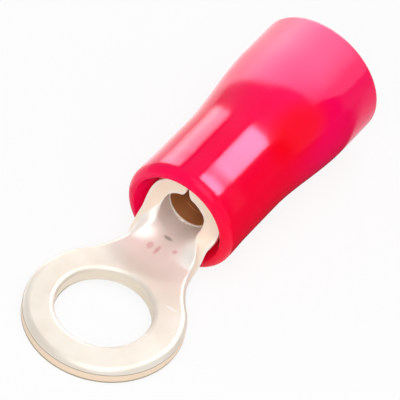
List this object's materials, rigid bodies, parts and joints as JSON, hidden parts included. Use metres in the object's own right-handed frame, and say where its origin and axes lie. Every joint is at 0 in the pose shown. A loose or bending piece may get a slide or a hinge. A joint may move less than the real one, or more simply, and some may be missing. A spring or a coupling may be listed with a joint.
{
  "type": "ring terminal",
  "caption": "Insulated ring terminal: flat stamped ring for a stud, a neck that curls into a rolled crimp barrel, and a flared plastic sleeve over the barrel.",
  "frame": {"origin": "on the stud's axis, at the underside of the ring", "axes": "+Z along the stud's axis, from the ring's underside to its upper face; +X from the ring to the wire's end of the barrel and sleeve"},
  "size_m": [0.0203, 0.0072, 0.0062],
  "materials": {
    "tin_plate": "electro-tinned copper sheet, satin, rolled on its punched edges",
    "red_vinyl": "smooth moulded red vinyl"
  },
  "bodies": {
    "root": {"terminal": "tin_plate", "sleeve": "red_vinyl"}
  },
  "joints": []
}
